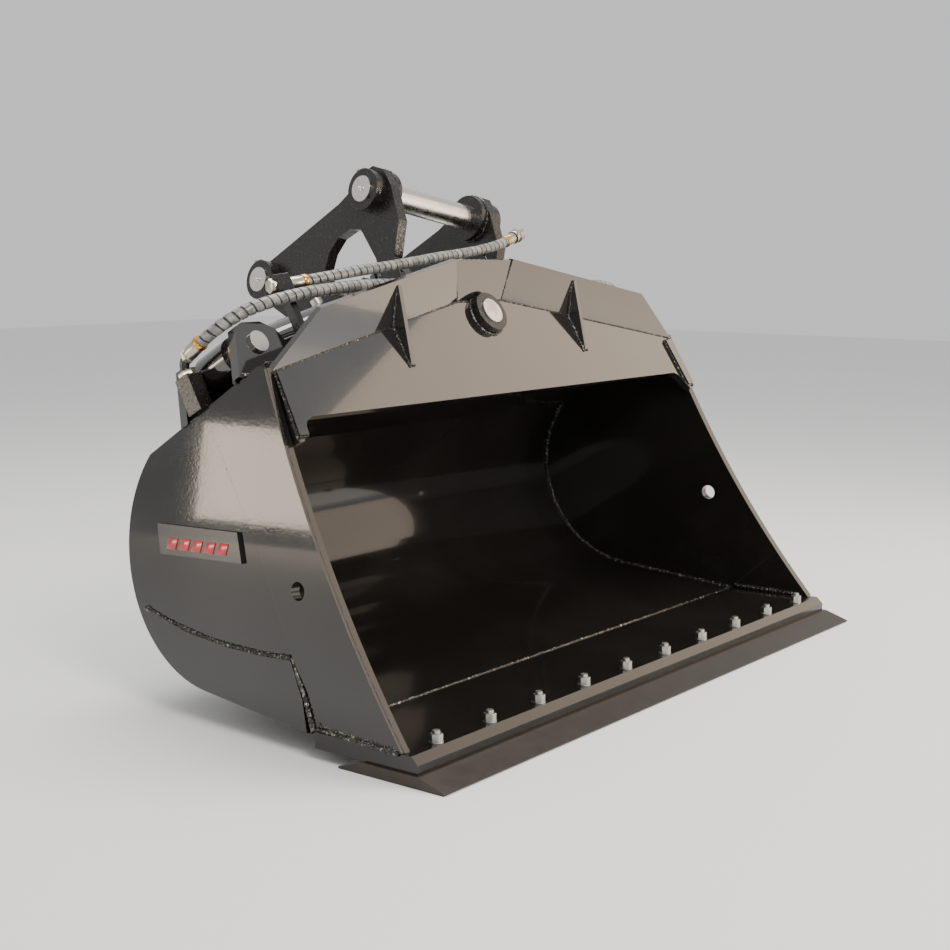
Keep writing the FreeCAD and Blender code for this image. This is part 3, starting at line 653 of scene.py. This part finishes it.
# Hoses -------------------------------------------------------------------------------------------
HOSE_UPPER = [
    (-598, 68, 127), (-551, 56, 127), (-480, 42, 130), (-400, 31, 136), (-310, 24, 141), (-200, 20, 151),
    (-85, 22, 166), (30, 20, 176), (134, 19, 190), (205, 20, 205), (262, 21, 222),
]
HOSE_LOWER = [
    (-811, 228, 44), (-811, 178, 50), (-790, 126, 61), (-748, 83, 72), (-684, 55, 79), (-604, 38, 86),
    (-515, 34, 92), (-430, 32, 97), (-345, 27, 96), (-250, 22, 92), (-140, 22, 104), (-40, 24, 118),
    (70, 25, 118), (170, 24, 100), (280, 24, 86), (390, 28, 80), (500, 33, 79), (604, 38, 84),
    (684, 55, 79), (748, 83, 72), (790, 126, 61), (811, 178, 50), (811, 228, 44),
]
HOLDER_SPAN = 0.04


def hose_curve(name, route, radius):
    """Smooth curve whose control points are the route's points."""
    curve = bpy.data.curves.new(name, "CURVE")
    curve.dimensions = "3D"
    curve.resolution_u = 12
    spline = curve.splines.new("NURBS")
    places = spots(YOKE, route)
    spline.points.add(len(places) - 1)
    for point, place in zip(spline.points, places):
        point.co = (*place, 1)
    spline.order_u = 3
    spline.use_endpoint_u = True
    piece = link(name, curve)
    line = bpy.data.meshes.new_from_object(piece)
    path = [vertex.co.copy() for vertex in line.vertices]
    curve.bevel_depth = radius
    curve.bevel_resolution = 5
    curve.use_fill_caps = True
    return piece, path


def path_length(path):
    """Length of a line of points."""
    return sum((there - here).length for here, there in zip(path, path[1:]))


def wound_band(path, radius, pitch, ends=0.036):
    """A flat band wound round a path with a thin gap between its turns."""
    total = path_length(path)
    steps = walk(path, pitch / 16)
    bm = bmesh.new()
    side = Vector((0, 0, 1))
    before = None
    section = ((-0.43, 0.0), (-0.4, 0.0022), (0.4, 0.0022), (0.43, 0.0))
    for index, (place, gone) in enumerate(steps[1:-1], start=1):
        way = (steps[index + 1][0] - steps[index - 1][0]).normalized()
        side = (side - way * side.dot(way)).normalized()
        if not ends < gone < total - ends:
            continue
        angle = gone / pitch * 2 * math.pi
        out = side * math.cos(angle) + way.cross(side) * math.sin(angle)
        spot_rows = [place + way * (pitch * shift) + out * (radius + rise) for shift, rise in section]
        ring = [bm.verts.new(spot) for spot in spot_rows]
        if before:
            for first in range(4):
                second = (first + 1) % 4
                bm.faces.new((before[first], before[second], ring[second], ring[first]))
        else:
            bm.faces.new(ring)
        before = ring
    bm.faces.new(before)
    return bm


def turned(profile, place, way, sides=24):
    """A turned piece: (distance, radius) rows spun about an axis."""
    bm = bmesh.new()
    rows = [bm.verts.new((radius, 0, distance)) for distance, radius in profile]
    edges = [bm.edges.new(pair) for pair in zip(rows, rows[1:])]
    bmesh.ops.spin(
        bm, geom=rows + edges, axis=(0, 0, 1), cent=(0, 0, 0), steps=sides, angle=2 * math.pi, use_merge=True
    )
    turn = Vector(way).to_track_quat("Z", "Y").to_matrix().to_4x4()
    bmesh.ops.transform(bm, matrix=Matrix.Translation(place) @ turn, verts=bm.verts)
    return bm


def hexagon(place, way, width, height):
    """A chamfered hexagon head."""
    bm = bmesh.new()
    radius = width / math.sqrt(3)
    bmesh.ops.create_cone(bm, cap_ends=True, segments=6, radius1=radius, radius2=radius, depth=height)
    rims = [edge for edge in bm.edges if abs(edge.verts[0].co.z - edge.verts[1].co.z) < 1e-6]
    bmesh.ops.bevel(bm, geom=rims, offset=height * 0.12, segments=2, profile=0.5, affect="EDGES", material=-1)
    turn = Vector(way).to_track_quat("Z", "Y").to_matrix().to_4x4()
    bmesh.ops.transform(bm, matrix=Matrix.Translation(place) @ turn, verts=bm.verts)
    return bm


def joined(parts):
    """Several bmeshes as one."""
    whole = bmesh.new()
    for part in parts:
        mesh = bpy.data.meshes.new("part")
        part.to_mesh(mesh)
        part.free()
        whole.from_mesh(mesh)
        bpy.data.meshes.remove(mesh)
    return whole


class BUCKET_OT_hoses(bpy.types.Operator):
    """Both hoses with guards, ferrules and end fittings"""

    bl_idname = "bucket.hoses"
    bl_label = "Hoses"

    def execute(self, context):
        runs = (
            ("upper", HOSE_UPPER, sizes().upper_hose, "fitting"),
            ("lower", HOSE_LOWER, sizes().lower_hose, "object"),
        )
        for name, route, radius, far in runs:
            hose, path = hose_curve(f"{name}_hose", route, radius)
            hose.data.materials.append(finish_for("rubber"))
            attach(hose, "bucket")
            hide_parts(f"hose_{name}")
            winding = wound_band(path, radius + 0.0003, sizes().guard_pitch)
            guard = mesh_piece(f"{name}_hose_guard", winding, "bucket", finish_for("guard"))
            ferrules = []
            rings = []
            for end, after in ((path[0], path[3]), (path[-1], path[-4])):
                way = (after - end).normalized()
                sleeve = [(-0.004, 0), (-0.004, radius * 1.2), (0.006, radius * 1.36), (0.034, radius * 1.36)]
                sleeve += [(0.038, radius * 1.2), (0.038, 0)]
                ferrules.append(turned(sleeve, end, way))
                band = [(0.037, 0), (0.037, radius * 1.42), (0.039, radius * 1.5), (0.046, radius * 1.5)]
                band += [(0.048, radius * 1.42), (0.048, 0)]
                rings.append(turned(band, end, way))
            ferrule = mesh_piece(f"{name}_hose_ferrules", joined(ferrules), "bucket",
                                 finish_for("fitting"))
            band = mesh_piece(
                f"{name}_hose_rings", joined(rings), "bucket", finish_for("brass")
            )
            path_length(path)
        return {"FINISHED"}


class BUCKET_OT_fittings(bpy.types.Operator):
    """Port adaptors, hose clips and bolt heads"""

    bl_idname = "bucket.fittings"
    bl_label = "Fittings"

    def execute(self, context):
        parts = []
        for x, y in ((-811, 259), (811, 259)):
            foot, above = spots(YOKE, [(x, y, 4), (x, y, 14)])
            up = (above - foot).normalized()
            parts.append(hexagon(foot + up * 0.006, up, 0.032, 0.012))
        for index in (0, -1):
            end = spots(YOKE, [HOSE_LOWER[index]])[0]
            ahead = spots(YOKE, [HOSE_LOWER[1 if index == 0 else -2]])[0]
            way = (end - ahead).normalized()
            parts.append(hexagon(end + way * 0.006, way, 0.032, 0.012))
        tip, before = spots(YOKE, [HOSE_UPPER[-1], HOSE_UPPER[-2]])
        way = (tip - before).normalized()
        groove = [(0.001, 0), (0.001, 0.0165), (0.003, 0.0175), (0.008, 0.0175), (0.01, 0.0155)]
        groove += [(0.0185, 0.0155), (0.02, 0.0185), (0.036, 0.0185), (0.038, 0.017), (0.044, 0.017)]
        groove += [(0.046, 0.0155)]
        groove += [(0.047, 0.011), (0.047, 0)]
        parts.append(turned(groove, tip, way, 32))
        first, second = spots(YOKE, [HOSE_UPPER[0], HOSE_UPPER[1]])
        way = (first - second).normalized()
        parts.append(hexagon(first + way * (HOLDER_SPAN + 0.006), way, 0.03, 0.014))
        mesh_piece("hose_adaptors", joined(parts), "bucket", finish_for("fitting"))
        stays = []
        for x, lower_up, upper_along, upper_up, foot in (
            (-235, 92, 21, 148, -8), (-90, 112, 22, 165, 28), (120, 110, 19, 188, 22),
        ):
            rows = [(x, 30, foot), (x, 37, lower_up), (x, upper_along + 14, upper_up)]
            stays.append(([(place, 1) for place in spots(YOKE, rows)], False))
        tube_piece("hose_stays", stays, 0.004, "bucket", finish_for("paint"), 3)
        return {"FINISHED"}


class BUCKET_OT_head_bolts(bpy.types.Operator):
    """Retaining bolts and grease nipples on the head and pins"""

    bl_idname = "bucket.head_bolts"
    bl_label = "Head bolts"

    def execute(self, context):
        up = (HEAD.to_3x3() @ Vector((0, 0, 1))).normalized()
        heads = []
        for along, rise in ((103, 368), (535, 350)):
            for x in (-218, 218):
                place = spots(HEAD, [(x, along, rise + 57)])[0]
                heads.append(hexagon(place, up, 0.019, 0.009))
        mesh_piece("collar_bolt_heads", joined(heads), "head", finish_for("zinc"))
        across = (HEAD.to_3x3() @ Vector((1, 0, 0))).normalized()
        nipples = []
        for along, rise in ((103, 368), (535, 350)):
            for side in (-1, 1):
                place = spots(HEAD, [(side * 237, along, rise)])[0]
                shape = [(0, 0), (0, 0.006), (0.003, 0.006), (0.004, 0.0035), (0.007, 0.0035)]
                shape += [(0.009, 0.0045), (0.0105, 0.003), (0.0105, 0)]
                nipples.append(turned(shape, place, across * side, 16))
        mesh_piece("pin_grease_nipples", joined(nipples), "head", finish_for("steel"))
        return {"FINISHED"}


class BUCKET_OT_badges(bpy.types.Operator):
    """Plain enamel bars on the side badges"""

    bl_idname = "bucket.badges"
    bl_label = "Badges"

    def execute(self, context):
        for side, name in ((-1, "left"), (1, "right")):
            outer = side_frame(side)
            low = spots(outer, [(side * 8.2, 282, 608)])[0]
            high = spots(outer, [(side * 8.2, 464, 711)])[0]
            along = (high - low).normalized()
            out = (outer.to_3x3() @ Vector((side, 0, 0))).normalized()
            rise = out.cross(along).normalized()
            turn = Matrix((along, out, rise)).transposed().to_4x4()
            bars = []
            count = 5
            for index in range(count):
                bm = bmesh.new()
                bmesh.ops.create_cube(bm, size=1)
                bmesh.ops.scale(bm, vec=(0.03, 0.004, 0.026), verts=bm.verts)
                for vert in bm.verts:
                    vert.co.x += vert.co.z * 0.35
                bmesh.ops.bevel(bm, geom=bm.edges[:], offset=0.0012, segments=2, profile=0.5, affect="EDGES",
                                material=-1)
                place = low.lerp(high, (index + 0.5) / count)
                bmesh.ops.transform(bm, matrix=Matrix.Translation(place) @ turn, verts=bm.verts)
                bars.append(bm)
            mesh_piece(f"badge_bars_{name}", joined(bars), "bucket", finish_for("badge"))
        return {"FINISHED"}


# Stage -------------------------------------------------------------------------------------------
CAMERA_PLACE = (-3.184, -2.45658, 1.047)
CAMERA_YAW = math.radians(52.55)
CAMERA_PITCH = math.radians(8.29)
CAMERA_ROLL = math.radians(0.21)


def area_light(name, place, target, size, power, colour):
    """A soft box pointed at a target."""
    light = bpy.data.lights.new(name, "AREA")
    light.shape = "RECTANGLE"
    light.size, light.size_y = size
    light.energy = power
    light.color = colour
    lamp = link(name, light)
    lamp.location = place
    lamp.rotation_mode = "QUATERNION"
    lamp.rotation_quaternion = (Vector(target) - Vector(place)).to_track_quat("-Z", "Y")
    return lamp


class BUCKET_OT_stage(bpy.types.Operator):
    """Pale floor, soft lights and the camera"""

    bl_idname = "bucket.stage"
    bl_label = "Stage"

    def execute(self, context):
        bm = bmesh.new()
        bmesh.ops.create_grid(bm, x_segments=8, y_segments=8, size=14)
        mesh = bpy.data.meshes.new("studio_floor")
        bm.to_mesh(mesh)
        bm.free()
        floor = link("studio_floor", mesh)
        finish = Finish("studio_floor")
        cloud = finish.noise(0.8, 3)
        shade = finish.mix(cloud, [part * 0.97 for part in colours().floor], tuple(colours().floor))
        mesh.materials.append(finish.set(Base_Color=shade, Roughness=0.6))
        world = bpy.data.worlds.new("studio")
        world.use_nodes = True
        world.node_tree.nodes["Background"].inputs["Color"].default_value = (1, 1, 1, 1)
        world.node_tree.nodes["Background"].inputs["Strength"].default_value = 0.75
        context.scene.world = world
        middle = (0, 0, 0.6)
        area_light("front_box", (2.3, -1.75, 1.45), (-0.3, 0.1, 0.95), (2.4, 2.5), 34, (1, 0.74, 0.5))
        area_light("key_box", (-2.2, -4.0, 3.8), middle, (1.8, 1.4), 190, (1, 0.95, 0.88))
        area_light("side_box", (-4.6, 2.9, 0.35), (-0.9, -0.1, 0.4), (2.6, 0.5), 40, (1, 0.84, 0.66))
        area_light("top_box", (0.6, 0.6, 4.4), middle, (3.2, 2.4), 170, (1, 0.98, 0.95))
        area_light("streak_box", (1.6, -3.6, 0.9), (0, 0, 0.35), (0.16, 1.5), 55, (1, 0.93, 0.84))
        camera = bpy.data.cameras.new("camera")
        camera.lens = sizes().lens
        camera.sensor_width = 36
        holder = link("camera", camera)
        holder.location = CAMERA_PLACE
        ahead = Vector((
            math.sin(CAMERA_YAW) * math.cos(CAMERA_PITCH), math.cos(CAMERA_YAW) * math.cos(CAMERA_PITCH),
            -math.sin(CAMERA_PITCH)))
        turn = ahead.to_track_quat("-Z", "Y").to_matrix() @ Matrix.Rotation(CAMERA_ROLL, 3, "Z")
        holder.rotation_euler = turn.to_euler()
        context.scene.camera = holder
        return {"FINISHED"}


OPERATORS = (
    BUCKET_OT_stage, BUCKET_OT_finishes, BUCKET_OT_side_welds, BUCKET_OT_yoke_welds, BUCKET_OT_head_welds,
    BUCKET_OT_hoses, BUCKET_OT_fittings, BUCKET_OT_head_bolts, BUCKET_OT_badges,
)


class BUCKET_PT_panel(bpy.types.Panel):
    """Lists the steps and their settings"""

    bl_label = "Tilt bucket"
    bl_idname = "BUCKET_PT_panel"
    bl_space_type = "VIEW_3D"
    bl_region_type = "UI"
    bl_category = "Bucket"

    def draw(self, context):
        for operator in OPERATORS:
            self.layout.operator(operator.bl_idname)
        for group in (context.scene.bucket_colours, context.scene.bucket_sizes):
            for name in group.bl_rna.properties.keys():
                if name not in ("rna_type", "name"):
                    self.layout.prop(group, name)


CLASSES = (BucketColours, BucketSizes, *OPERATORS, BUCKET_PT_panel)


def register():
    for item in CLASSES:
        bpy.utils.register_class(item)
    bpy.types.Scene.bucket_colours = bpy.props.PointerProperty(type=BucketColours)
    bpy.types.Scene.bucket_sizes = bpy.props.PointerProperty(type=BucketSizes)


def unregister():
    del bpy.types.Scene.bucket_sizes
    del bpy.types.Scene.bucket_colours
    for item in reversed(CLASSES):
        bpy.utils.unregister_class(item)


def main():
    register()
    for operator in OPERATORS:
        group, name = operator.bl_idname.split(".")
        getattr(getattr(bpy.ops, group), name)()


if __name__ == "__main__":
    main()
